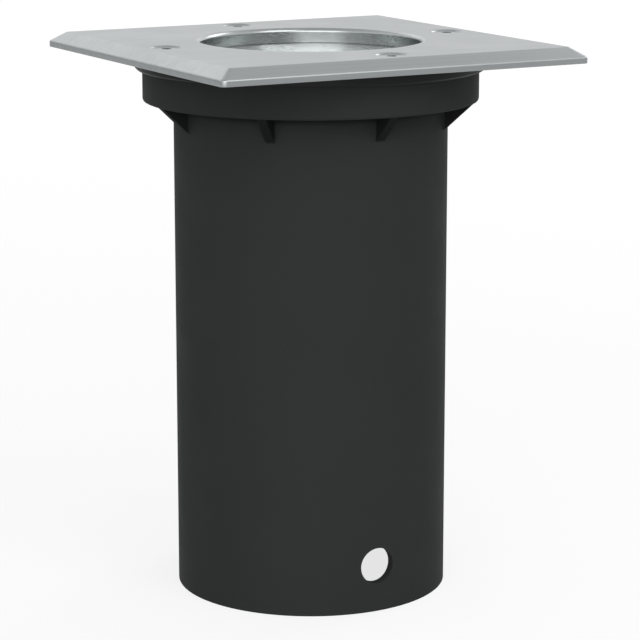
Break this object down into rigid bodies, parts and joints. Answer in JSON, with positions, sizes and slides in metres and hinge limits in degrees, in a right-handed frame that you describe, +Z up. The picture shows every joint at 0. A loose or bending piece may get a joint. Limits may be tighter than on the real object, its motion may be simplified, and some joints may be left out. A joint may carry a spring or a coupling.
{
  "type": "in ground well light",
  "caption": "Square recessed ground light: bevelled steel cover over glass, lamp in a black pot with cable gland, hung in an open ribbed ground sleeve with a cable hole.",
  "frame": {"origin": "centre of the sleeve's open base, on the surface that it stands on", "axes": "+Z up along the sleeve's axis; the cover's sides lie along X and Y; the sleeve's cable hole faces -Y"},
  "size_m": [0.11, 0.11, 0.154],
  "materials": {
    "brushed_steel": "satin brushed stainless steel",
    "screw_steel": "turned stainless steel",
    "zinc_steel": "zinc plated",
    "black_plastic": "matte moulded, black",
    "black_paint": "black powder coat on cast aluminium",
    "clear_glass": "clear toughened glass",
    "black_rubber": "matte silicone rubber",
    "spun_aluminium": "spun satin aluminium",
    "white_ceramic": "unglazed steatite",
    "brass": "bare brass",
    "nickel_brass": "nickel plated",
    "white_plastic": "moulded, white",
    "clear_plastic": "clear moulded lens",
    "board_white": "white solder mask",
    "emitter_yellow": "phosphor gel",
    "board_green": "green circuit board",
    "lead_sleeving": "silicone sleeving",
    "block_plastic": "natural nylon"
  },
  "bodies": {
    "sleeve": {"ground_sleeve": "black_plastic"},
    "lamp_unit": {"cover_plate": "brushed_steel", "cover_screws": "screw_steel", "glass_lens": "clear_glass", "glass_seal": "black_rubber", "lamp_housing": "black_paint", "trim_ring": "spun_aluminium", "lampholder": "white_ceramic", "holder_contacts": "brass", "holder_bracket": "zinc_steel", "holder_screws": "zinc_steel", "bracket_screws": "zinc_steel", "earth_screw": "brass", "terminal_block": "block_plastic", "terminal_clamps": "brass", "terminal_screws": "zinc_steel", "terminal_fixing_screw": "zinc_steel", "lamp_leads": "lead_sleeving", "gland_washer": "black_rubber", "gland_body": "black_plastic", "gland_locknut": "black_plastic", "gland_seal": "black_rubber", "gland_cap": "black_plastic"},
    "lamp": {"lamp_base": "white_ceramic", "lamp_pins": "nickel_brass", "lamp_shell": "white_plastic", "lamp_lens": "clear_plastic", "led_board": "board_white", "led_emitters": "emitter_yellow", "driver_board": "board_green"}
  },
  "joints": [
    {"name": "lamp_unit_lift", "type": "slide", "parent": "sleeve", "child": "lamp_unit", "axis": [0, 0, 1], "range_m": [0, 0.13]},
    {"name": "lamp_twist", "type": "hinge", "parent": "lamp_unit", "child": "lamp", "pos_m": [0, 0, 0.0924], "axis": [0, 0, 1], "range_deg": [0, 45]}
  ]
}
